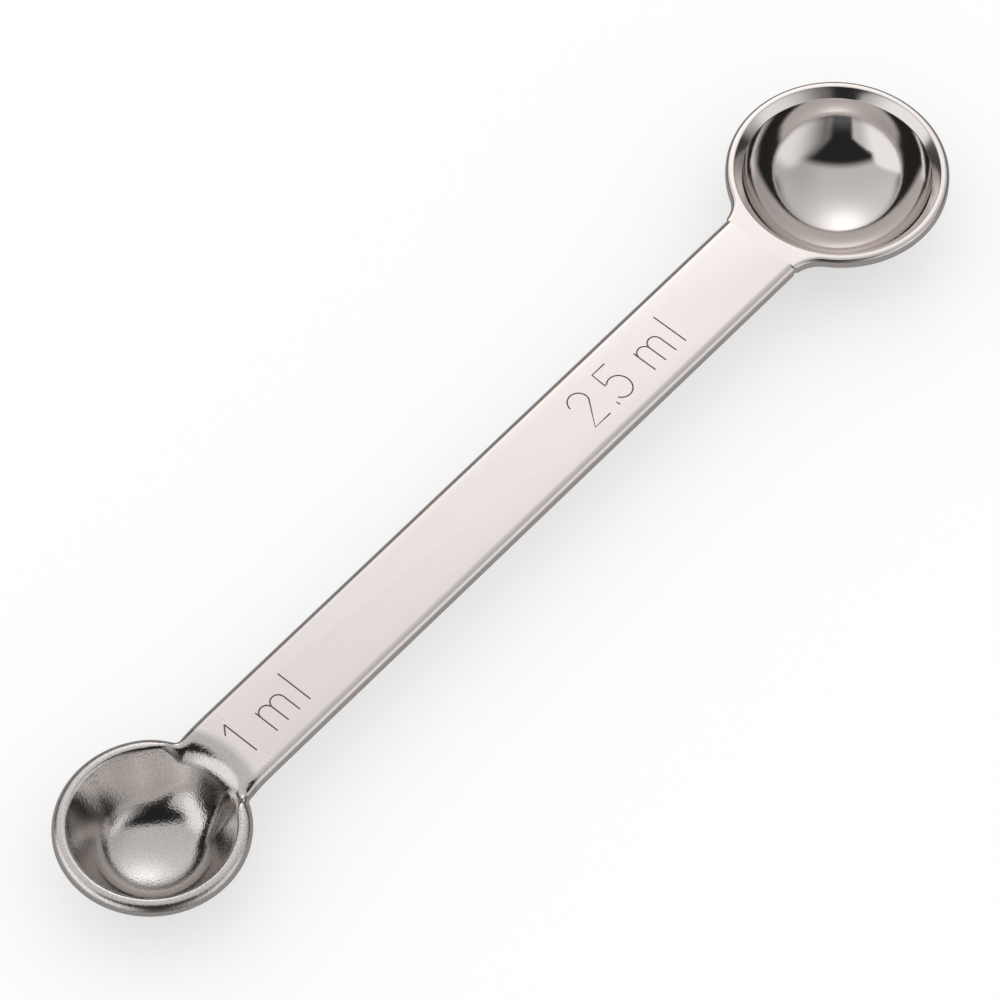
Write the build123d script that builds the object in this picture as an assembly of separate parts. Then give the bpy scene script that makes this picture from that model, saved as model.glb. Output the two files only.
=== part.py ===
from build123d import *
import math
import os

os.makedirs("parts", exist_ok=True)

# A double-ended measuring spoon, pressed from one strip of stainless sheet: a round bowl at
# each end, and between them a flat handle whose long edges are turned down.
# The pressing is made as three pieces that meet face to face where its section is plain.
# +X runs from the small bowl to the large one and +Z is up. The origin is under the middle
# of the spoon, on the level of the lowest point of the large bowl.

# the sheet and how far apart the bowls' centres are
sheet = 0.6
bowl_spacing = 122.0

# the handle: a shallow channel, open below
# A skirt is what hangs straight down past the bend of an edge.
handle_width = 11.15
handle_bend_inside = 0.28
handle_skirt = 0.42

# the large bowl: a bevelled mouth, a steep wall and a round floor
# With a wall share of 0 the bowl would be a plain dome. With more, its floor is that much
# rounder and more of the wall above it is straight.
large_mouth_radius = 12.65
large_bevel_width = 1.0
large_bevel_depth = 1.08
large_depth = 9.35
large_wall_share = 0.028
large_mouth_rounding = 0.25
large_bevel_rounding = 0.4

# its rim, and the neck that the handle widens into
large_rim_flat = 0.04
large_rim_bend_inside = 0.26
large_rim_skirt = 0.48
neck_corner_radius = 4.3

# the relief notches, where the handle's turned edges end and the neck's begin
notch_radius = 0.42
notch_bite = 0.2

# the small bowl: a flared wall and a round floor
small_mouth_radius = 9.82
small_depth = 8.0
small_wall_share = 0.132
small_mouth_rounding = 0.62

# its rolled rim, and the lip over which the handle runs down into the bowl
small_rim_flat = 0.06
small_rim_bend_inside = 0.64
small_rim_skirt = 0.1
lip_radius = 5.0
lip_to_seam = 2.9

# how steeply each end of the rolled rim runs down on to the lip
rim_end_slope = 36

# how far a cutting tool runs past what it cuts
overrun = 1.0


def round_floor(corner, depth, wall_share):
    # the floor's radius, and how steeply the wall between the floor and the corner leans
    radius, height = corner
    drop = depth + height
    dome_radius = (radius**2 + drop**2) / (2 * drop)
    floor_radius = (1 - wall_share) * dome_radius
    above_centre = height + depth - floor_radius
    to_corner = math.atan2(radius, -above_centre)
    slope = to_corner - math.acos(floor_radius / math.hypot(radius, above_centre))
    return floor_radius, slope


def space_above(corners, roundings, depth, wall_share, reach):
    # half section of the space above a bowl and the plate around it, from the axis outward
    floor_radius, slope = round_floor(corners[0], depth, wall_share)
    bottom, middle, top = (
        (floor_radius * math.sin(angle), floor_radius * (1 - math.cos(angle)) - depth)
        for angle in (0, slope / 2, slope)
    )
    floor = ThreePointArc(bottom, middle, top)
    walls = Polyline(top, *corners, (reach, 0), (reach, overrun), (0, overrun), bottom)
    half = make_face(floor + walls)
    for corner, rounding in zip(corners, roundings):
        vertex = half.vertices().sort_by_distance((*corner, 0))[0]
        half = fillet(vertex, rounding)
    return half


def sink_by_sheet(half):
    # the same space, one sheet thickness deeper
    deep = offset(half + mirror(half, about=Plane.YZ), amount=sheet, kind=Kind.INTERSECTION)
    size = 4 * bowl_spacing
    return deep & Pos(size / 2, 0) * Rectangle(size, size)


def turned(half):
    return revolve(Plane.XZ * half, axis=Axis.Z)


def below_plate():
    # everything under the middle of the plate's thickness, in a half section
    size = 4 * bowl_spacing
    return Pos(0, -(size + sheet) / 2) * Rectangle(size, size)


def block_with_rolled_edge(outline, bend, top, bottom):
    block = extrude(Pos(0, 0, bottom) * outline, top - bottom)
    return fillet(block.edges().group_by(Axis.Z)[-1], bend)


def tray(outline, bend_inside, skirt):
    # a flat plate of sheet whose edge is turned down all round
    bend = bend_inside + sheet
    drop = bend + skirt
    solid = block_with_rolled_edge(outline, bend, 0, -drop)
    core_outline = offset(outline, amount=-sheet)
    core = block_with_rolled_edge(core_outline, bend_inside, -sheet, -drop - overrun)
    return solid - core


def strip(start, end):
    # outline of the handle's strip between two places along it
    length = end - start
    return Pos(start + length / 2, 0) * Rectangle(length, handle_width)


def between(start, end):
    # everything between two planes across the handle
    size = 4 * bowl_spacing
    return Pos((start + end) / 2, 0, 0) * Box(end - start, size, size)


def notches(place):
    # a pair of round bites through the turned edges
    side = handle_width / 2 - notch_bite + notch_radius
    bite = Cylinder(notch_radius, 2 * (handle_drop + overrun))
    return Pos(place, side, 0) * bite + Pos(place, -side, 0) * bite


# how far the handle's edges hang below its top
handle_drop = handle_bend_inside + sheet + handle_skirt

# the plate is flat from the mouth's rounding to where its edge bends down
bevel_slope = math.atan2(large_bevel_depth, large_bevel_width)
large_land_radius = (
    large_mouth_radius + large_mouth_rounding * math.tan(bevel_slope / 2) + large_rim_flat)
large_rim_radius = large_land_radius + large_rim_bend_inside + sheet
small_wall_slope = round_floor((small_mouth_radius, 0), small_depth, small_wall_share)[1]
small_land_radius = (
    small_mouth_radius + small_mouth_rounding * math.tan(small_wall_slope / 2) + small_rim_flat)
small_rim_radius = small_land_radius + small_rim_bend_inside + sheet

# the lip ends a little before one seam, and the neck's corners begin at the other
lip_reach = lip_radius * math.tan(small_wall_slope / 2)
small_seam = small_mouth_radius + lip_reach + lip_to_seam
neck_start = math.sqrt(
    (large_rim_radius + neck_corner_radius) ** 2 - (handle_width / 2 + neck_corner_radius) ** 2)
large_seam = bowl_spacing - neck_start + notch_radius


def handle():
    # the channel, long enough for its ends to be cut square
    channel = tray(strip(0, bowl_spacing), handle_bend_inside, handle_skirt)
    return (channel & between(small_seam, large_seam)) - notches(large_seam)


def large_bowl():
    bevel_foot = (large_mouth_radius - large_bevel_width, -large_bevel_depth)
    corners = [bevel_foot, (large_mouth_radius, 0)]
    roundings = [large_bevel_rounding, large_mouth_rounding]
    space = space_above(corners, roundings, large_depth, large_wall_share, large_land_radius)
    cup = turned(sink_by_sheet(space) & below_plate())

    # the rim and the neck are one outline, with wide corners between them
    outline = Circle(large_rim_radius) + strip(-bowl_spacing / 2, 0)
    half_width = handle_width / 2
    corner_x = -math.sqrt(large_rim_radius**2 - half_width**2)
    concave = [
        outline.vertices().sort_by_distance((corner_x, side * half_width, 0))[0]
        for side in (1, -1)
    ]
    outline = fillet(concave, neck_corner_radius)
    plate = tray(outline, large_rim_bend_inside, large_rim_skirt)
    pressing = Pos(bowl_spacing, 0, 0) * ((plate + cup) - turned(space))
    return (pressing & between(large_seam, 2 * bowl_spacing)) - notches(large_seam)


def rim_end_ramp(side, angle):
    # everything below a plane that falls away from one end of the rim, towards the handle
    size = 4 * bowl_spacing
    lean = Rot(0, 0, side * angle) * Rot(side * rim_end_slope, 0, 0)
    return lean * Pos(0, 0, -size / 2) * Box(size, size, size)


def small_bowl():
    mouth = [(small_mouth_radius, 0)]
    space = space_above(
        mouth, [small_mouth_rounding], small_depth, small_wall_share, small_land_radius)
    cup = turned(sink_by_sheet(space) & below_plate())
    plate = tray(Circle(small_rim_radius), small_rim_bend_inside, small_rim_skirt)
    rimmed = (plate + cup) - turned(space)

    # the wedge in which the handle replaces the rim, from the corners that the two make
    corner_angle = math.asin(handle_width / 2 / small_rim_radius)
    near = small_mouth_radius / 2
    near_side = near * math.tan(corner_angle)
    far_side = small_seam * math.tan(corner_angle)
    wedge_face = make_face(Polyline(
        (near, near_side), (small_seam, far_side), (small_seam, -far_side), (near, -near_side),
        (near, near_side)))
    wedge = extrude(wedge_face, small_depth + sheet, both=True)

    # in it the plate runs over the lip and down the wall, between the handle's own edges
    lip_space = space_above(mouth, [lip_radius], small_depth, small_wall_share, 2 * small_seam)
    under_lip = turned(sink_by_sheet(lip_space))
    outline = strip(-small_seam, 2 * small_seam)
    bottom = -small_depth - sheet - overrun
    block = block_with_rolled_edge(outline, handle_bend_inside + sheet, 0, bottom)
    core_outline = offset(outline, amount=-sheet)
    core = block_with_rolled_edge(core_outline, handle_bend_inside, -sheet, bottom - overrun)
    size = 4 * bowl_spacing
    below_edges = Pos(0, 0, -handle_drop - size / 2) * Box(size, size, size)
    hollow = (core + below_edges) - under_lip
    lipped = (block & wedge) - turned(lip_space) - hollow

    # each end of the rim goes on over the lip until its ramp has run out
    rim_block = block_with_rolled_edge(
        Circle(small_rim_radius), small_rim_bend_inside + sheet, 0, bottom)
    past_corner = ((rim_block & wedge) - turned(space)) & under_lip
    for side in (1, -1):
        lipped += past_corner & rim_end_ramp(side, math.degrees(corner_angle))
    return (rimmed - wedge) + lipped


# the handle's top is one sheet and one bowl depth above the lowest point
rise = large_depth + sheet
middle = (bowl_spacing + large_rim_radius - small_rim_radius) / 2

for name, piece in (
    ("small_bowl", small_bowl()),
    ("handle", handle()),
    ("large_bowl", large_bowl()),
):
    placed = Pos(-middle, 0, rise) * piece
    export_step(placed, f"parts/{name}.step")
    print(name, round(placed.volume, 2), len(placed.solids()))
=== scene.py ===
import math
import bpy
from mathutils import Matrix, Vector


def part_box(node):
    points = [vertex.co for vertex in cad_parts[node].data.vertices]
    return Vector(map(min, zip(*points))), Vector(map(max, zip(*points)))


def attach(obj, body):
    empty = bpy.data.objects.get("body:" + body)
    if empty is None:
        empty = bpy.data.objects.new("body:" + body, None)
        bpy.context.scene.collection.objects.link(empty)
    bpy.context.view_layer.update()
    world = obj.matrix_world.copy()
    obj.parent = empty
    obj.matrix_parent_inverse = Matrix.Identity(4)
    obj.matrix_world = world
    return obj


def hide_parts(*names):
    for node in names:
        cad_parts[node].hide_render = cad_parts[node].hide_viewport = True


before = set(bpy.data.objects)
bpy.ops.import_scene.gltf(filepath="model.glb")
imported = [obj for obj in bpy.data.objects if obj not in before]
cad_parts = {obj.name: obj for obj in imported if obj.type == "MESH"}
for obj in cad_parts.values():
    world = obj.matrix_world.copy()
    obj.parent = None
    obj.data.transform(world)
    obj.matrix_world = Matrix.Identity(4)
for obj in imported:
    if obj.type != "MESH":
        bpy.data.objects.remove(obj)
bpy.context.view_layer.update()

mm = 0.001
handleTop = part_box("handle")[1].z
print("CAD loaded:", ", ".join(sorted(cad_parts)))

# the sheet and the handle's channel, in millimetres
channel = {
    "sheet": 0.6,
    "width": 11.15,
    "bend": 1.22,           # outside radius of the turned-down edges
    "skirt": 0.08,          # how far they hang straight down past the bend
    "cutEdge": 0.07,        # rounding of the sheet's cut edge
    "cutCorner": 0.3,       # how far that rounding stands off its corner, as a share
    "bendSteps": 14, "skirtSteps": 3,
    "shadeAngle": 32,       # degrees, above which an edge looks sharp
    "roughness": 0.22,      # of the steel
    "grain": 0.1,           # strength of its grain
    "engraved": True,
}


def smoothStep(start, end, value):
    # 0 up to start, 1 from end on
    share = min(max((value - start) / (end - start), 0), 1)
    return share * share * (3 - 2 * share)


def mix(first, second, share):
    return first + (second - first) * share


def spread(start, end, steps):
    # equal steps from start, which is left out, to end
    return [mix(start, end, step / steps) for step in range(1, steps + 1)]


def deselectAll():
    if bpy.context.mode != "OBJECT":
        bpy.ops.object.mode_set(mode="OBJECT")
    bpy.ops.object.select_all(action="DESELECT")


def makeActive(piece):
    deselectAll()
    piece.select_set(True)
    bpy.context.view_layer.objects.active = piece


def applyModifier(piece, kind, **settings):
    makeActive(piece)
    modifier = piece.modifiers.new(kind.title(), kind)
    for key, value in settings.items():
        setattr(modifier, key, value)
    bpy.ops.object.modifier_apply(modifier=modifier.name)


def cutWith(piece, cutters):
    for cutter in cutters:
        applyModifier(piece, "BOOLEAN", object=cutter, operation="DIFFERENCE", solver="EXACT")
    for cutter in cutters:
        bpy.data.objects.remove(cutter)


def finishPiece(piece, node, material):
    # the modelled piece takes the place of its CAD node
    makeActive(piece)
    bpy.ops.object.transform_apply(location=True, rotation=True, scale=True)
    bpy.ops.object.shade_smooth_by_angle(angle=math.radians(channel["shadeAngle"]))
    piece.data.materials.clear()
    piece.data.materials.append(material)
    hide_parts(node)
    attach(piece, "root")
    triangles = sum(len(face.vertices) - 2 for face in piece.data.polygons)
    print(piece.name, "done:", triangles, "triangles")


def drawLine(points, name):
    # one vertex, extruded from point to point
    deselectAll()
    bpy.ops.mesh.primitive_plane_add(size=mm)
    piece = bpy.context.active_object
    piece.name = piece.data.name = name
    bpy.ops.object.mode_set(mode="EDIT")
    bpy.ops.mesh.select_all(action="SELECT")
    bpy.ops.mesh.merge(type="CENTER")
    bpy.ops.transform.translate(value=Vector(points[0]) * mm)
    for start, end in zip(points, points[1:]):
        step = (Vector(end) - Vector(start)) * mm
        bpy.ops.mesh.extrude_region_move(TRANSFORM_OT_translate={"value": step})
    return piece


def cutEdgePoints():
    # the sheet's cut edge, as places in from its outside and up from its bottom
    sheet, edge = channel["sheet"], channel["cutEdge"]
    corner = edge * channel["cutCorner"]
    return [(0, edge), (corner, corner), (edge, 0),
            (sheet - edge, 0), (sheet - corner, corner), (sheet, edge)]


# how both bowls' sheet is divided
pressing = {
    "shortestMouth": 0.4,   # mm from the wall's end to the edge's bend, or the wall ends sooner
    "bentShare": 0.85,      # the most of that length whose rows lie on the mouth's rounding
    "rimCrowding": 1.35,    # the rim's spokes draw together towards the handle
    "stripCrowding": 1.5,   # and the handle's towards the bowl
    "endSpokes": 6,
    "pastSeam": 3,          # mm of handle that the cut at the seam takes off
    "mergeWithin": 2e-6, "cutWithin": 1e-7,     # metres
}


# A bowl's section is worked out afresh for each direction from the bowl's middle. turn is the
# angle of that direction from the handle, in degrees, positive on the side of +y. deep is 0
# for the top of the sheet and its thickness for the underside.
def bulge(bowl, turn):
    ends = bowl["bulgeEnds"][0 if turn > 0 else 1]
    return bowl["bulge"] * (1 - smoothStep(*ends, abs(turn)))


def mouthRounding(bowl, turn):
    pastLip = smoothStep(*bowl["lipEnds"], abs(turn))
    return mix(bowl["lipRounding"], bowl["mouthRounding"], pastLip)


def sideRadius(bowl, turn):
    # where the wall bulges, the arc under it is wider, so that the floor stays round
    return bowl["sideRadius"] + bowl["sideWidening"] * bulge(bowl, turn)


def bowlArcs(bowl, turn):
    # height of the floor arc's middle, middle of the tighter arc round it, the angle at which
    # they meet, and the wall's lean
    lean = math.radians(bowl["wallLean"])
    floor, side = bowl["floorRadius"], sideRadius(bowl, turn)
    radius, height = bowl["corners"][0][0] + bulge(bowl, turn), bowl["corners"][0][1]
    floorHeight = floor - bowl["depth"]
    fromX = radius - side * math.sin(lean)
    fromZ = height + side * math.cos(lean) - floorHeight
    along = fromX * math.cos(lean) + fromZ * math.sin(lean)
    wall = along + math.sqrt(along ** 2 - fromX ** 2 - fromZ ** 2 + (floor - side) ** 2)
    sideX, sideZ = fromX - wall * math.cos(lean), fromZ - wall * math.sin(lean)
    return floorHeight, (sideX, floorHeight + sideZ), math.atan2(sideX, -sideZ), lean


def skinCorners(bowl, deep, turn):
    # corners of one side of the sheet: radius, height, rounding, lean before, lean after
    corners = []
    before = math.radians(bowl["wallLean"])
    for index, (radius, height) in enumerate(bowl["corners"]):
        radius += bulge(bowl, turn)
        if index == len(bowl["corners"]) - 1:
            after, rounding = 0, mouthRounding(bowl, turn)
        else:
            nextRadius, nextHeight = bowl["corners"][index + 1]
            after = math.atan2(nextHeight - height, nextRadius + bulge(bowl, turn) - radius)
            rounding = bowl["bevelRounding"]
        share = deep / (1 + math.cos(before - after))
        radius += share * (math.sin(before) + math.sin(after))
        height -= share * (math.cos(before) + math.cos(after))
        if deep:
            rounding = max(rounding - deep, bowl["underRounding"])
        corners.append((radius, height, rounding, before, after))
        before = after
    return corners


def mouthEnd(corner, edge):
    # length from the wall's end, over the mouth's rounding and the plate, to the edge's bend
    radius, height, rounding, before, after = corner
    centre = radius + rounding * math.tan(before / 2)
    gap = centre - edge
    if gap <= 0:
        return rounding * before - gap
    if gap < rounding * math.sin(before):
        return rounding * (before - math.asin(gap / rounding))
    return (rounding * math.sin(before) - gap) / math.cos(before)


def mouthPoint(corner, along):
    # radius and height of the place that is so far along from the wall's end
    radius, height, rounding, before, after = corner
    centre = radius + rounding * math.tan(before / 2)
    if along > rounding * before:
        return centre + along - rounding * before, height
    lean = before - max(along, 0) / rounding
    down = min(along, 0)
    return (centre - rounding * math.sin(lean) + down * math.cos(before),
            height - rounding * (1 - math.cos(lean)) + down * math.sin(before))


def mouthHeight(corner, place):
    return mouthPoint(corner, mouthEnd(corner, place))[1]


def straight(start, end, steps):
    return [(mix(start[0], end[0], share), mix(start[1], end[1], share))
            for share in spread(0, 1, steps)]


def skinRows(bowl, deep, turn, edge):
    # one side of the sheet from the middle of the floor to where the edge bends down
    floorHeight, (sideX, sideZ), meet, lean = bowlArcs(bowl, turn)
    floor, side = bowl["floorRadius"] + deep, sideRadius(bowl, turn) + deep
    rows = [(0.0, -bowl["depth"] - deep)]
    for angle in spread(0, meet, bowl["floorSteps"]):
        rows.append((floor * math.sin(angle), floorHeight - floor * math.cos(angle)))
    for angle in spread(meet, lean, bowl["sideSteps"]):
        rows.append((sideX + side * math.sin(angle), sideZ - side * math.cos(angle)))
    corners = skinCorners(bowl, deep, turn)
    for radius, height, rounding, before, after in corners[:-1]:
        cut = rounding * math.tan((before - after) / 2)
        start = (radius - cut * math.cos(before), height - cut * math.sin(before))
        centre = (start[0] + rounding * math.sin(before), start[1] - rounding * math.cos(before))
        rows += straight(rows[-1], start, bowl["wallSteps"])
        for angle in spread(before, after, bowl["cornerSteps"]):
            rows.append((centre[0] - rounding * math.sin(angle),
                         centre[1] + rounding * math.cos(angle)))
    mouth = corners[-1]
    total = mouthEnd(mouth, edge)
    begin = min(0, total - pressing["shortestMouth"])
    rows += straight(rows[-1], mouthPoint(mouth, begin), bowl["wallSteps"])
    bent = min(mouth[2] * mouth[3], mix(begin, total, pressing["bentShare"]))
    alongs = spread(begin, bent, bowl["mouthSteps"]) + spread(bent, total, bowl["landSteps"])
    rows += [mouthPoint(mouth, along) for along in alongs]
    return rows


def section(bowl, spoke):
    # every point of one spoke, top side first, as (x, y, z)
    (edgeX, edgeY), (outX, outY), bend, skirt = spoke
    sheet, steps = channel["sheet"], channel["bendSteps"]
    edge = math.hypot(edgeX, edgeY)
    turn = math.degrees(math.atan2(edgeY, edgeX))
    points, inside = (
        [(radius * edgeX / edge, radius * edgeY / edge, height)
         for radius, height in skinRows(bowl, deep, turn, edge)] for deep in (0, sheet))

    def edgePoint(out, down, deep):
        x, y = edgeX + outX * out, edgeY + outY * out
        mouth = skinCorners(bowl, deep, math.degrees(math.atan2(y, x)))[-1]
        return x, y, mouthHeight(mouth, math.hypot(x, y)) - down

    for angle in spread(0, math.pi / 2, steps):
        points.append(edgePoint(bend * math.sin(angle), bend * (1 - math.cos(angle)), 0))
    x, y, top = points[-1]
    bottom = top - skirt
    skirtEnd = bottom + channel["cutEdge"]
    for height in spread(top, skirtEnd, channel["skirtSteps"]):
        points.append((x, y, height))
    for inward, up in cutEdgePoints()[1:]:
        points.append((x - outX * inward, y - outY * inward, bottom + up))
    under = bend - sheet
    back = [edgePoint(under * math.sin(angle), under * (1 - math.cos(angle)), sheet)
            for angle in reversed(spread(0, math.pi / 2, steps))]
    for height in spread(skirtEnd, back[0][2], channel["skirtSteps"])[:-1]:
        points.append((x - outX * sheet, y - outY * sheet, height))
    return points + back + inside[::-1]


def spokes(bowl, rimRadius, reach):
    # the outline from opposite the handle round to it and back, with the handle along +x:
    # for each spoke, where the edge's bend begins, the way out, the bend and the skirt
    half = channel["width"] / 2
    fillet = bowl["cornerFillet"]
    centreX = math.sqrt((rimRadius + fillet) ** 2 - (half + fillet) ** 2)
    centreY = half + fillet
    turn = math.atan2(centreY, centreX)
    outline = []            # x, y, out x, out y, and how far past the corner's middle
    arc = fillet * (math.pi / 2 - turn) / 2
    for share in spread(0, 1, bowl["rimSpokes"]):
        share = 1 - (1 - share) ** pressing["rimCrowding"]
        angle = mix(math.pi, turn, share)
        outline.append((rimRadius * math.cos(angle), rimRadius * math.sin(angle),
                        math.cos(angle), math.sin(angle), -arc - rimRadius * (angle - turn)))
    for angle in spread(turn, math.pi / 2, bowl["cornerSpokes"]):
        x, y = math.cos(angle), math.sin(angle)
        outline.append((centreX - fillet * x, centreY - fillet * y, x, y,
                        fillet * (angle - turn) - arc))
    for share in spread(0, 1, bowl["stripSpokes"]):
        length = (reach - channel["bend"] - centreX) * share ** pressing["stripCrowding"]
        outline.append((centreX + length, half, 0.0, 1.0, arc + length))
    result = []
    for x, y, outX, outY, past in outline:
        onHandle = smoothStep(*bowl["edgeChange"], past)
        near = math.exp(-(past / bowl["pinchReach"]) ** 2)
        bend = mix(bowl["bend"], channel["bend"], onHandle) + bowl["pinchBend"] * near
        skirt = mix(bowl["skirt"], channel["skirt"], onHandle)
        result.append(((x - outX * bend, y - outY * bend), (outX, outY), bend, skirt))
    (x, y), out, bend, skirt = result[-1]
    for angle in spread(math.pi / 2, 0, pressing["endSpokes"]):
        result.append(((x, y), (math.cos(angle), math.sin(angle)), bend, skirt))
    for side in spread(y, 0, pressing["endSpokes"]):
        result.append(((x, side), (1.0, 0.0), bend, skirt))
    otherSide = [((x, -y), (outX, -outY), bend, skirt)
                 for (x, y), (outX, outY), bend, skirt in reversed(result[:-1])]
    start = ((-rimRadius + bowl["bend"], 0.0), (-1.0, 0.0), bowl["bend"], bowl["skirt"])
    return [start] + result + otherSide


def pressBowl(bowl, node, name):
    # the rim's section is spun all round, and each spoke then pressed to its own place
    low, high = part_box(node)
    rimRadius = (high.y - low.y) / 2 / mm
    toHandle = bowl["toHandle"]
    centreX = (low.x if toHandle > 0 else high.x) / mm + toHandle * rimRadius
    seam = high.x if toHandle > 0 else low.x
    allSpokes = spokes(bowl, rimRadius, abs(seam / mm - centreX) + pressing["pastSeam"])
    pressed = [section(bowl, spoke) for spoke in allSpokes]
    base = pressed[0]
    piece = drawLine([(-x, 0, z) for x, y, z in base], name)
    bpy.ops.mesh.select_all(action="SELECT")
    bpy.ops.mesh.spin(steps=len(allSpokes), angle=2 * math.pi, center=(0, 0, 0),
                      axis=(0, 0, 1), use_auto_merge=False)
    bpy.ops.object.mode_set(mode="OBJECT")
    # spin keeps each spoke's points together, and order says which point each of them is
    vertices = piece.data.vertices
    order = [min(range(len(base)), key=lambda row: (
        Vector((-base[row][0], 0, base[row][2])) - vertices[index].co / mm).length)
        for index in range(len(base))]
    for vertex in vertices:
        spoke, index = divmod(vertex.index, len(base))
        x, y, z = pressed[spoke % len(allSpokes)][order[index]]
        vertex.co = ((centreX + toHandle * x) * mm, y * mm, high.z + z * mm)
    makeActive(piece)
    bpy.ops.object.mode_set(mode="EDIT")
    bpy.ops.mesh.select_all(action="SELECT")
    bpy.ops.mesh.remove_doubles(threshold=pressing["mergeWithin"])
    bpy.ops.mesh.normals_make_consistent(inside=False)
    bpy.ops.mesh.bisect(plane_co=(seam, 0, 0), plane_no=(toHandle, 0, 0),
                        threshold=pressing["cutWithin"], use_fill=True, clear_outer=True)
    bpy.ops.object.mode_set(mode="OBJECT")
    print(name, "pressed:", len(allSpokes), "spokes,", len(base), "points each")
    return piece, centreX, seam


notch = {
    "radius": 0.42, "bite": 0.2,
    "length": 6,
    "turned": 3.7,          # degrees, so that no corner of the cutter lies on the seam
}


def cutNotches(piece, place):
    # round bites through both turned edges
    cutters = []
    for side in (1, -1):
        y = side * (channel["width"] / 2 - notch["bite"] + notch["radius"]) * mm
        deselectAll()
        bpy.ops.mesh.primitive_cylinder_add(
            vertices=48, radius=notch["radius"] * mm, depth=notch["length"] * mm,
            location=(place, y, handleTop), rotation=(0, 0, math.radians(notch["turned"])))
        cutters.append(bpy.context.active_object)
    cutWith(piece, cutters)


class Shade:
    # a shader socket that sums can be written with
    tree = None

    def __init__(self, socket):
        self.socket = socket

    @classmethod
    def node(cls, kind, settings=None, inputs=None, output=0):
        node = cls.tree.nodes.new(kind)
        for key, value in (settings or {}).items():
            setattr(node, key, value)
        for key, value in (inputs or {}).items():
            if isinstance(value, Shade):
                cls.tree.links.new(value.socket, node.inputs[key])
            else:
                node.inputs[key].default_value = value
        return cls(node.outputs[output])

    def math(self, operation, *others):
        return Shade.node("ShaderNodeMath", {"operation": operation},
                          dict(enumerate((self, *others))))

    def __add__(self, other):
        return self.math("ADD", other)

    def __sub__(self, other):
        return self.math("SUBTRACT", other)

    def __mul__(self, other):
        return self.math("MULTIPLY", other)

    def __truediv__(self, other):
        return self.math("DIVIDE", other)

    def __pow__(self, other):
        return self.math("POWER", other)

    def __rsub__(self, other):
        return Shade.node("ShaderNodeMath", {"operation": "SUBTRACT"}, {0: other, 1: self})

    def __neg__(self):
        return 0 - self

    __radd__ = __add__
    __rmul__ = __mul__

    def step(self, start, end):
        # 0 before start, 1 past end, smooth between
        return Shade.node("ShaderNodeMapRange", {"interpolation_type": "SMOOTHSTEP"},
                          {"Value": self, "From Min": start, "From Max": end})


def newMaterial(name):
    material = bpy.data.materials.new(name)
    material.use_nodes = True
    Shade.tree = material.node_tree
    return material, next(n for n in Shade.tree.nodes if n.type == "BSDF_PRINCIPLED")


def link(value, socket):
    Shade.tree.links.new(value.socket, socket)


def objectPlace(centre, turned=0):
    # a place on Object coordinates, measured from a centre, and its three axes
    place = Shade.node("ShaderNodeTexCoord", output=3)
    spun = Shade.node("ShaderNodeMapping", {"vector_type": "TEXTURE"}, {
        "Vector": place, "Location": centre, "Rotation": (0, 0, turned)})
    axes = Shade.node("ShaderNodeSeparateXYZ", None, {"Vector": spun}).socket.node.outputs
    return spun, [Shade(axis) for axis in axes]


# lengths in mm, and pairs are where a change begins and ends
steel = {
    "polishedColour": (0.82, 0.775, 0.75, 1),
    "satinColour": (0.90, 0.835, 0.805, 1),
    "satinRoughness": 0.22,
    "grainSize": 0.26, "grainHeight": 0.05, "grainShine": 0.05,
    "cloudSize": 3.0, "cloudShine": 0.03,
    "speckColour": (0.56, 0.555, 0.53, 1), "speckSize": 0.17, "speckEdge": (0.34, 0.66),
    "lipEdge": (0.8, 0.92),         # cosine of the angle from the handle
    # painted shade in the engraved strokes: its colour, how deep below the handle's top it lies
    # and how far across
    "strokeShadeColour": (0.19, 0.165, 0.15, 1),
    "strokeShadeTop": (0.01, 0.03), "strokeShadeBottom": (0.25, 0.3),       # below the handle's top
    "strokeShadeSides": (4.2, 4.4),
}


def noise(place, size, detail=2.0):
    return Shade.node("ShaderNodeTexNoise", None, {
        "Vector": place, "Scale": 1 / (size * mm), "Detail": detail, "Roughness": 0.55})


def lengthStep(length, ends):
    return length.step(ends[0] * mm, ends[1] * mm)


def blend(share, first, second):
    return Shade.node("ShaderNodeMix", {"data_type": "RGBA"}, {0: share, 6: first, 7: second}, 2)


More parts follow.
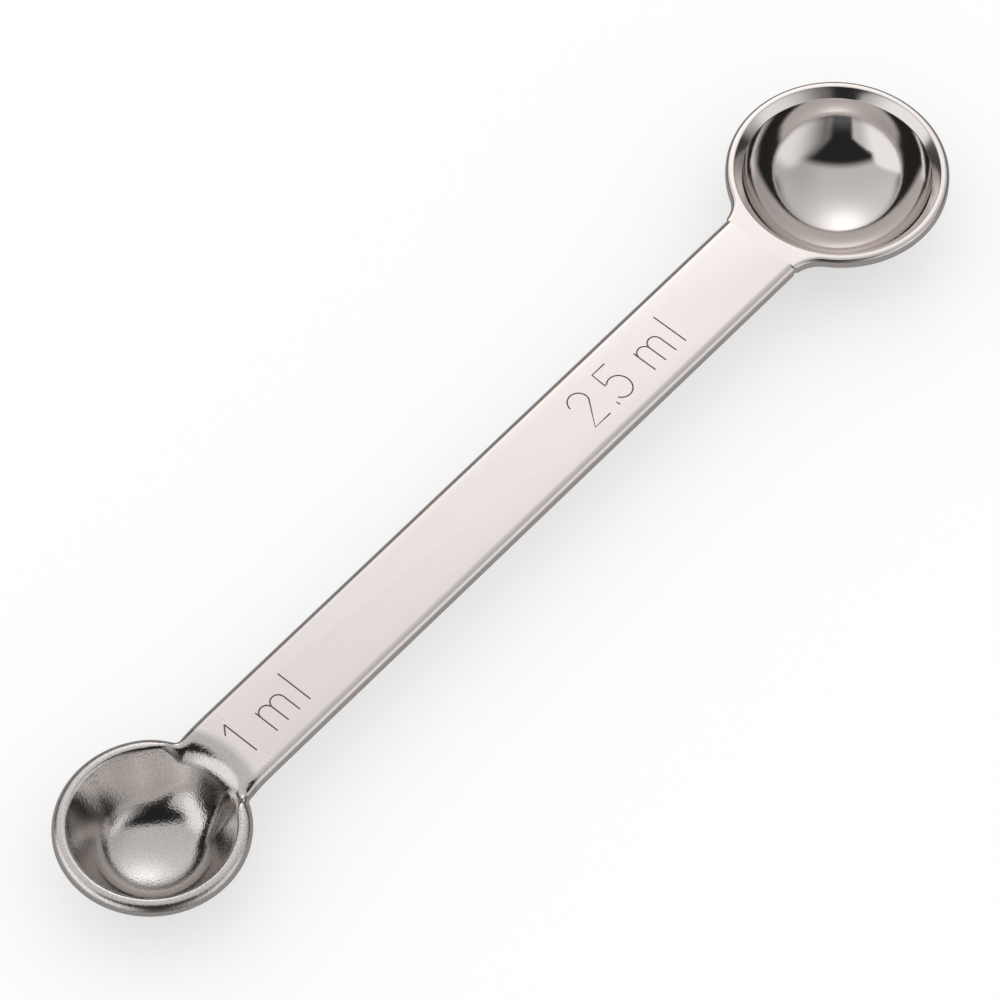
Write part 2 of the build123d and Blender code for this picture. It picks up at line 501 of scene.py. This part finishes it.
def steelMaterial(name, piece, middle=0):
    # satin all over, or polished inside a bowl and satin past a radius from its middle
    material, shader = newMaterial(name)
    shader.inputs["Metallic"].default_value = 1
    place, (x, y, z) = objectPlace((middle * mm, 0, 0))
    roughness = piece["roughness"]
    grain = noise(place, steel["grainSize"])
    cloud = noise(place, steel["cloudSize"], 4.0)
    shine = ((grain - 0.5) * steel["grainShine"] + (cloud - 0.5) * steel["cloudShine"]
             + roughness)
    colour = steel["satinColour"]
    if "satinPast" in piece:
        radius = (x * x + y * y) ** 0.5
        onLip = (x / radius).step(*steel["lipEdge"])
        satin = lengthStep(radius - piece["lipShift"] * mm * onLip, piece["satinPast"])
        frosted = lengthStep(radius, piece["frostPast"]) * piece["frost"]
        toSatin = steel["satinRoughness"] - roughness - piece["frost"]
        shine = shine + frosted + toSatin * satin
        specks = noise(place, steel["speckSize"], 1.0).step(*steel["speckEdge"])
        specks = specks * piece["speckle"]
        inside = blend(specks, steel["polishedColour"], steel["speckColour"])
        rim = blend(specks * (1 - onLip), steel["satinColour"], steel["speckColour"])
        colour = blend(satin, inside, rim)
    if piece["engraved"]:
        # painted shade: the strokes' grooves, just below the handle's top, are darkened
        deep = handleTop - z
        strokeShade = lengthStep(deep, steel["strokeShadeTop"]) * (1 - lengthStep(deep, steel["strokeShadeBottom"]))
        strokeShade = strokeShade * (1 - lengthStep(y.math("ABSOLUTE"), steel["strokeShadeSides"]))
        if "engravedPast" in piece:
            strokeShade = strokeShade * lengthStep(x, piece["engravedPast"])
        colour = blend(strokeShade, colour, steel["strokeShadeColour"])
    link(colour, shader.inputs["Base Color"])
    link(shine, shader.inputs["Roughness"])
    bump = Shade.node("ShaderNodeBump", None, {
        "Height": grain, "Strength": piece["grain"], "Distance": steel["grainHeight"] * mm})
    link(bump, shader.inputs["Normal"])
    return material


# the large bowl, with a bevel round its mouth
largeBowl = {
    "toHandle": -1,                                 # which way the handle lies along x
    "depth": 9.35, "floorRadius": 12.4,
    "sideRadius": 9.5, "wallLean": 72,              # the arc round the floor, and the wall
    "corners": [(11.65, -1.08), (12.65, 0.0)],      # radius and height, the mouth last
    "bevelRounding": 0.4, "underRounding": 0.25,
    "mouthRounding": 0.25, "lipRounding": 0.25, "lipEnds": (22, 38),
    "bulge": 0, "bulgeEnds": [(5, 52), (14, 42)], "sideWidening": 0,
    "bend": 0.64, "skirt": 0.7,                     # of the rim
    "cornerFillet": 4.3,                            # between the rim and the handle
    "edgeChange": (3.0, 5.0),                       # from rim to handle, past that corner
    "pinchBend": 0.0, "pinchReach": 1.0,            # a wider bend in that corner
    "floorSteps": 20, "sideSteps": 18, "wallSteps": 2, "cornerSteps": 7,
    "mouthSteps": 7, "landSteps": 5,
    "rimSpokes": 120, "cornerSpokes": 20, "stripSpokes": 8,
    "roughness": 0.07, "grain": 0.05, "speckle": 0.0,
    "satinPast": (12.6, 13.0), "lipShift": 0.0,     # the lip is polished further out
    "frostPast": (11.6, 11.8), "frost": 0.07,       # of the bevel
    "engraved": False,
}
largePiece, largeX, largeSeam = pressBowl(largeBowl, "large_bowl", "largeBowl")
cutNotches(largePiece, largeSeam)
finishPiece(largePiece, "large_bowl",
            steelMaterial("Large bowl steel", largeBowl, largeX))

# the small bowl, whose wall bulges towards the handle below a wide lip
smallBowl = {
    "toHandle": 1,
    "depth": 8.55, "floorRadius": 12.5,
    "sideRadius": 5.5, "wallLean": 61.5,
    "corners": [(9.82, 0.0)],
    "underRounding": 0.25,
    "mouthRounding": 0.62, "lipRounding": 4.65, "lipEnds": (22, 38),
    "bulge": 1.16, "sideWidening": 3.1,
    "bulgeEnds": [(5, 52), (14, 42)],               # on the side of +y, and on the other
    "bend": 1.24, "skirt": 0.1,
    "cornerFillet": 0.8,
    "edgeChange": (-1.0, 2.0),
    "pinchBend": 0.5, "pinchReach": 2.0,
    "floorSteps": 14, "sideSteps": 18, "wallSteps": 6, "cornerSteps": 6,
    "mouthSteps": 30, "landSteps": 8,
    "rimSpokes": 110, "cornerSpokes": 24, "stripSpokes": 24,
    "roughness": 0.1, "grain": 0.45, "speckle": 0.5,
    "satinPast": (10.1, 10.6), "lipShift": 2.6,
    "frostPast": (11.6, 11.8), "frost": 0.0,
    "engraved": True, "engravedPast": (13.7, 13.8),
}
smallPiece, smallX, smallSeam = pressBowl(smallBowl, "small_bowl", "smallBowl")

# the engraved measures: strokes from the middle of the small bowl along the handle, in mm
marks = {
    "bottom": -2.5, "top": 2.65, "lower": 1.0,      # the height of small letters
    "oneAt": 14.9, "unitAt": 18.4,
    "twoAt": 74.0, "secondUnitAt": 85.0,
    "arch": 0.95,                                   # radius of each arch in the unit
    "twoRadius": 1.35, "fiveRadius": 1.5,
    "radius": 0.11, "above": 0.04,                  # of the round cutter, and over the plate
    "mergeWithin": 1e-7,                            # metres
}


def arcPoints(centre, radius, start, end, steps, squash=1.0):
    return [(centre[0] + radius * math.cos(math.radians(angle)),
             centre[1] + radius * squash * math.sin(math.radians(angle)))
            for angle in [start] + spread(start, end, steps)]


def engrave(piece, strokes):
    # each stroke is drawn on the plate, made a thin round rod and cut away
    cutters = []
    height = handleTop / mm + marks["above"]
    for stroke in strokes:
        rod = drawLine([(smallX + x, y, height) for x, y in stroke], "stroke")
        makeActive(rod)
        bpy.ops.object.convert(target="CURVE")
        rod.data.bevel_depth = marks["radius"] * mm
        rod.data.bevel_resolution = 2
        rod.data.use_fill_caps = True
        bpy.ops.object.convert(target="MESH")
        bpy.ops.object.mode_set(mode="EDIT")
        bpy.ops.mesh.select_all(action="SELECT")
        bpy.ops.mesh.remove_doubles(threshold=marks["mergeWithin"])
        bpy.ops.mesh.normals_make_consistent(inside=False)
        bpy.ops.object.mode_set(mode="OBJECT")
        cutters.append(bpy.context.active_object)
    cutWith(piece, cutters)


def oneStrokes(at):
    return [[(at, marks["bottom"]), (at, marks["top"])],
            [(at - 1.0, marks["top"] - 1.15), (at - 0.02, marks["top"] - 0.05)]]


def twoPointFiveStrokes(at):
    bottom, top = marks["bottom"], marks["top"]
    curve = marks["twoRadius"]
    two = arcPoints((at + curve, top - curve), curve, 175, -25, 14)
    five = arcPoints((at + 6.35, bottom + 1.65), marks["fiveRadius"], 128, -150, 18, 1.1)
    return [two + [(at, bottom), (at + 2.75, bottom)],
            [(at + 4.45, bottom - 0.05), (at + 4.4, bottom + 0.5)],
            [(at + 7.6, top), (at + 5.35, top), (at + 5.25, five[0][1] - 0.05)], five]


def unitStrokes(at):
    bottom, lower, arch = marks["bottom"], marks["lower"], marks["arch"]
    strokes = [[(at, bottom), (at, lower)]]
    for stem in (0, 1):
        hump = arcPoints((at + arch + 2 * arch * stem, lower - arch), arch, 180, 0, 12)
        strokes.append(hump + [(at + 2 * arch * (stem + 1), bottom)])
    return strokes + [[(at + 5.6, bottom), (at + 5.6, marks["top"])]]


engrave(smallPiece, oneStrokes(marks["oneAt"]))
finishPiece(smallPiece, "small_bowl",
            steelMaterial("Small bowl steel", smallBowl, smallX))


def drawHandle():
    # half of the channel's section, mirrored and drawn out between the two seams
    low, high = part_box("handle")
    half, bend, sheet = channel["width"] / 2, channel["bend"], channel["sheet"]
    bottom = -bend - channel["skirt"]
    under = bend - sheet
    angles = [0] + spread(0, math.pi / 2, channel["bendSteps"])
    outer = [(half - bend + bend * math.sin(a), -bend * (1 - math.cos(a))) for a in angles]
    outer += [(half - inward, bottom + up) for inward, up in cutEdgePoints()]
    outer += [(half - bend + under * math.sin(a), -sheet - under * (1 - math.cos(a)))
              for a in reversed(angles)]
    ring = outer + [(-y, z) for y, z in reversed(outer)]
    piece = drawLine([(0, y, z) for y, z in ring], "handleChannel")
    bpy.ops.mesh.select_all(action="SELECT")
    bpy.ops.mesh.edge_face_add()
    bpy.ops.mesh.select_all(action="SELECT")
    bpy.ops.transform.translate(value=(low.x, 0, high.z))
    bpy.ops.mesh.extrude_region_move(
        TRANSFORM_OT_translate={"value": (high.x - low.x, 0, 0)})
    bpy.ops.mesh.select_all(action="SELECT")
    bpy.ops.mesh.normals_make_consistent(inside=False)
    bpy.ops.object.mode_set(mode="OBJECT")
    return piece


handlePiece = drawHandle()
cutNotches(handlePiece, largeSeam)
engrave(handlePiece, unitStrokes(marks["unitAt"]))
engrave(handlePiece, twoPointFiveStrokes(marks["twoAt"]))
engrave(handlePiece, unitStrokes(marks["secondUnitAt"]))
finishPiece(handlePiece, "handle", steelMaterial("Handle steel", channel))

# the camera, where the photograph was taken
camera = {
    "target": (-3.244, -0.811, 9.95),
    "azimuth": -139.144, "elevation": 57.241, "roll": -0.588,
    "distance": 704.37, "lens": 216.0, "sensor": 36.0,
}


def placeCamera():
    azimuth, elevation = (math.radians(camera[key]) for key in ("azimuth", "elevation"))
    away = Vector((math.cos(elevation) * math.cos(azimuth),
                   math.cos(elevation) * math.sin(azimuth), math.sin(elevation)))
    place = (Vector(camera["target"]) + away * camera["distance"]) * mm
    ahead = -away
    right = ahead.cross(Vector((0, 0, 1))).normalized()
    down = ahead.cross(right)
    roll = math.radians(camera["roll"])
    across = right * math.cos(roll) + down * math.sin(roll)
    below = -right * math.sin(roll) + down * math.cos(roll)
    lens = bpy.data.cameras.new("camera")
    lens.lens = camera["lens"]
    lens.sensor_width = lens.sensor_height = camera["sensor"]
    lens.clip_start, lens.clip_end = 0.01, 20
    holder = bpy.data.objects.new("camera", lens)
    bpy.context.scene.collection.objects.link(holder)
    holder.matrix_world = Matrix((
        (across.x, -below.x, away.x, place.x), (across.y, -below.y, away.y, place.y),
        (across.z, -below.z, away.z, place.z), (0, 0, 0, 1)))
    bpy.context.scene.camera = holder


placeCamera()

# the floor and a round light tent, whose lights only shine on what is glossy
# Places in the tent are degrees from straight up: across to the right of the open side, and
# towards it. A pair is where a change begins and ends.
floorSheet = {
    "size": 6,
    "grey": 0.8,            # for the light that falls back from it on to other things
    "seenLess": 0.3,        # how much less of that the camera, steel and glass see
    "seenGlow": 0.5,        # and the glow that they see instead, so its shadows are faint
}
tent = {
    "radius": 0.55,
    "facing": -139.144,     # the open side, in degrees round z
    "plain": 0.58,
    "back": 0.1, "backFrom": (-10, 40),         # more light at the back
    "right": 0.12, "rightFrom": (10, 45),       # and less on the right,
    "low": 0.85, "lowFrom": (60, 76), "lowTowards": -10, "lowBack": (0, 15),    # low behind
    "ground": 0.6, "groundFrom": (74, 86),      # and all round over the floor
    "floorShade": 0.3, "floorShadeHeight": 0.2,           # painted shade: a dim grey glow just over the floor, in place of the floor's shade round the spoon
}
lamp = {
    "light": 0.72, "across": -1, "towards": -55, "width": 22, "cut": (-74, -64),
}
leftBox = {
    "light": 0.97, "fall": 0.4, "fallFrom": (-48, -26),
    "start": 16, "slant": 1.1, "edge": (-5, 5), "gap": (-1, 5),
}
rightBox = {
    "light": 0.14, "rise": 0.74, "riseFrom": (14, 66),
    "edge": (-10, 12), "gap": (-6, 8), "middle": (0, 10),
}
opening = {
    "light": 0.02, "rise": 0.12, "riseFrom": (55, 85),
    "left": -18, "right": 16,           # its sides, past the place where it starts to widen
    "widens": 52, "widensRight": 0.8, "leftMost": -42,
    "top": (13, 25), "leftEdge": (-3, 3), "rightEdge": (-11, 8),
}


def grey(value):
    return Shade.node("ShaderNodeCombineColor", None, {0: value, 1: value, 2: value})


def floorMaterial():
    material, shader = newMaterial("Floor")
    path = Shade.node("ShaderNodeLightPath").socket.node.outputs
    seen = sum(Shade(path[name]) for name in
               ("Is Camera Ray", "Is Glossy Ray", "Is Transmission Ray"))
    own = floorSheet["grey"] - floorSheet["seenLess"] * seen
    link(grey(own), shader.inputs["Base Color"])
    link(grey(floorSheet["seenGlow"] * seen), shader.inputs["Emission Color"])
    shader.inputs["Emission Strength"].default_value = 1
    shader.inputs["Roughness"].default_value = 1
    shader.inputs["Specular IOR Level"].default_value = 0
    return material


def glowInstead(shader, light):
    Shade.tree.nodes.remove(shader)
    output = next(n for n in Shade.tree.nodes if n.type == "OUTPUT_MATERIAL")
    link(Shade.node("ShaderNodeEmission", None, {"Strength": light}), output.inputs["Surface"])


def over(below, above, share):
    return below * (1 - share) + above * share


def tentMaterial():
    material, shader = newMaterial("Light tent")
    x, y, z = objectPlace((0, 0, handleTop), math.radians(tent["facing"] + 90))[1]
    flat = (x * x + y * y) ** 0.5 + 1e-6
    away = flat.math("ARCTAN2", z) * math.degrees(1)
    across = away * x / flat
    towards = away * y / flat * -1

    # the plain cloth of the tent, dimmer low down at the back, and the lamp above it
    plain = (tent["plain"] + tent["back"] * (-towards).step(*tent["backFrom"])
             - tent["right"] * across.step(*tent["rightFrom"]))
    low = (away.step(*tent["lowFrom"])
           * (tent["lowTowards"] - towards).step(*tent["lowBack"]))
    fromLamp = (((across - lamp["across"]) / lamp["width"]) ** 2
                + ((towards - lamp["towards"]) / lamp["width"]) ** 2) * -1
    glow = lamp["light"] * Shade.node(
        "ShaderNodeMath", {"operation": "EXPONENT"}, {0: fromLamp})
    light = plain * (1 - tent["low"] * low) + glow * towards.step(*lamp["cut"])

    # how far inside the opening's two sides a place lies
    wider = (opening["widens"] - towards).math("MAXIMUM", 0)
    insideLeft = (across - opening["left"] + wider).math(
        "MINIMUM", across - opening["leftMost"])
    insideRight = opening["right"] + opening["widensRight"] * wider - across

    # a soft box on each side of it
    slant = leftBox["start"] + leftBox["slant"] * (across - opening["leftMost"])
    onLeft = ((towards - slant).step(*leftBox["edge"])
              * (-insideLeft).step(*leftBox["gap"]))
    light = over(light, leftBox["light"]
                 - leftBox["fall"] * across.step(*leftBox["fallFrom"]), onLeft)
    onRight = (towards.step(*rightBox["edge"]) * (-insideRight).step(*rightBox["gap"])
               * across.step(*rightBox["middle"]))
    light = over(light, rightBox["light"]
                 + rightBox["rise"] * across.step(*rightBox["riseFrom"]), onRight)

    # the opening itself, and the dim ground all round
    dark = (towards.step(*opening["top"]) * insideLeft.step(*opening["leftEdge"])
            * insideRight.step(*opening["rightEdge"]))
    light = over(light, opening["light"]
                 + opening["rise"] * towards.step(*opening["riseFrom"]), dark)
    glowInstead(shader, light * (1 - tent["ground"] * away.step(*tent["groundFrom"])))
    return material


def floorShadeMaterial():
    material, shader = newMaterial("Painted floor shade")
    glowInstead(shader, tent["floorShade"])
    return material


def nameCard(name, material):
    card = bpy.context.active_object
    card.name = card.data.name = name
    card.data.materials.append(material)
    return card


def onlyForSteel(card):
    card.visible_camera = card.visible_diffuse = False
    card.visible_transmission = card.visible_shadow = False


def placeStage():
    deselectAll()
    bpy.ops.mesh.primitive_plane_add(size=floorSheet["size"])
    nameCard("floor", floorMaterial())
    deselectAll()
    bpy.ops.mesh.primitive_ico_sphere_add(subdivisions=5, radius=tent["radius"])
    onlyForSteel(nameCard("tent", tentMaterial()))
    deselectAll()
    # painted shade of the floor round the spoon: a dim grey glowing disc that only the steel
    # sees
    bpy.ops.mesh.primitive_circle_add(vertices=64, radius=tent["radius"], fill_type="NGON",
                                      location=(0, 0, tent["floorShadeHeight"] * mm))
    onlyForSteel(nameCard("floorShade", floorShadeMaterial()))


placeStage()
world = bpy.data.worlds.new("studio")
bpy.context.scene.world = world
world.use_nodes = True
world.node_tree.nodes["Background"].inputs["Color"].default_value = (1, 1, 1, 1)
world.cycles_visibility.glossy = False          # the steel sees the tent instead
bpy.context.scene.view_settings.view_transform = "Standard"
print("stage, light and camera ready")
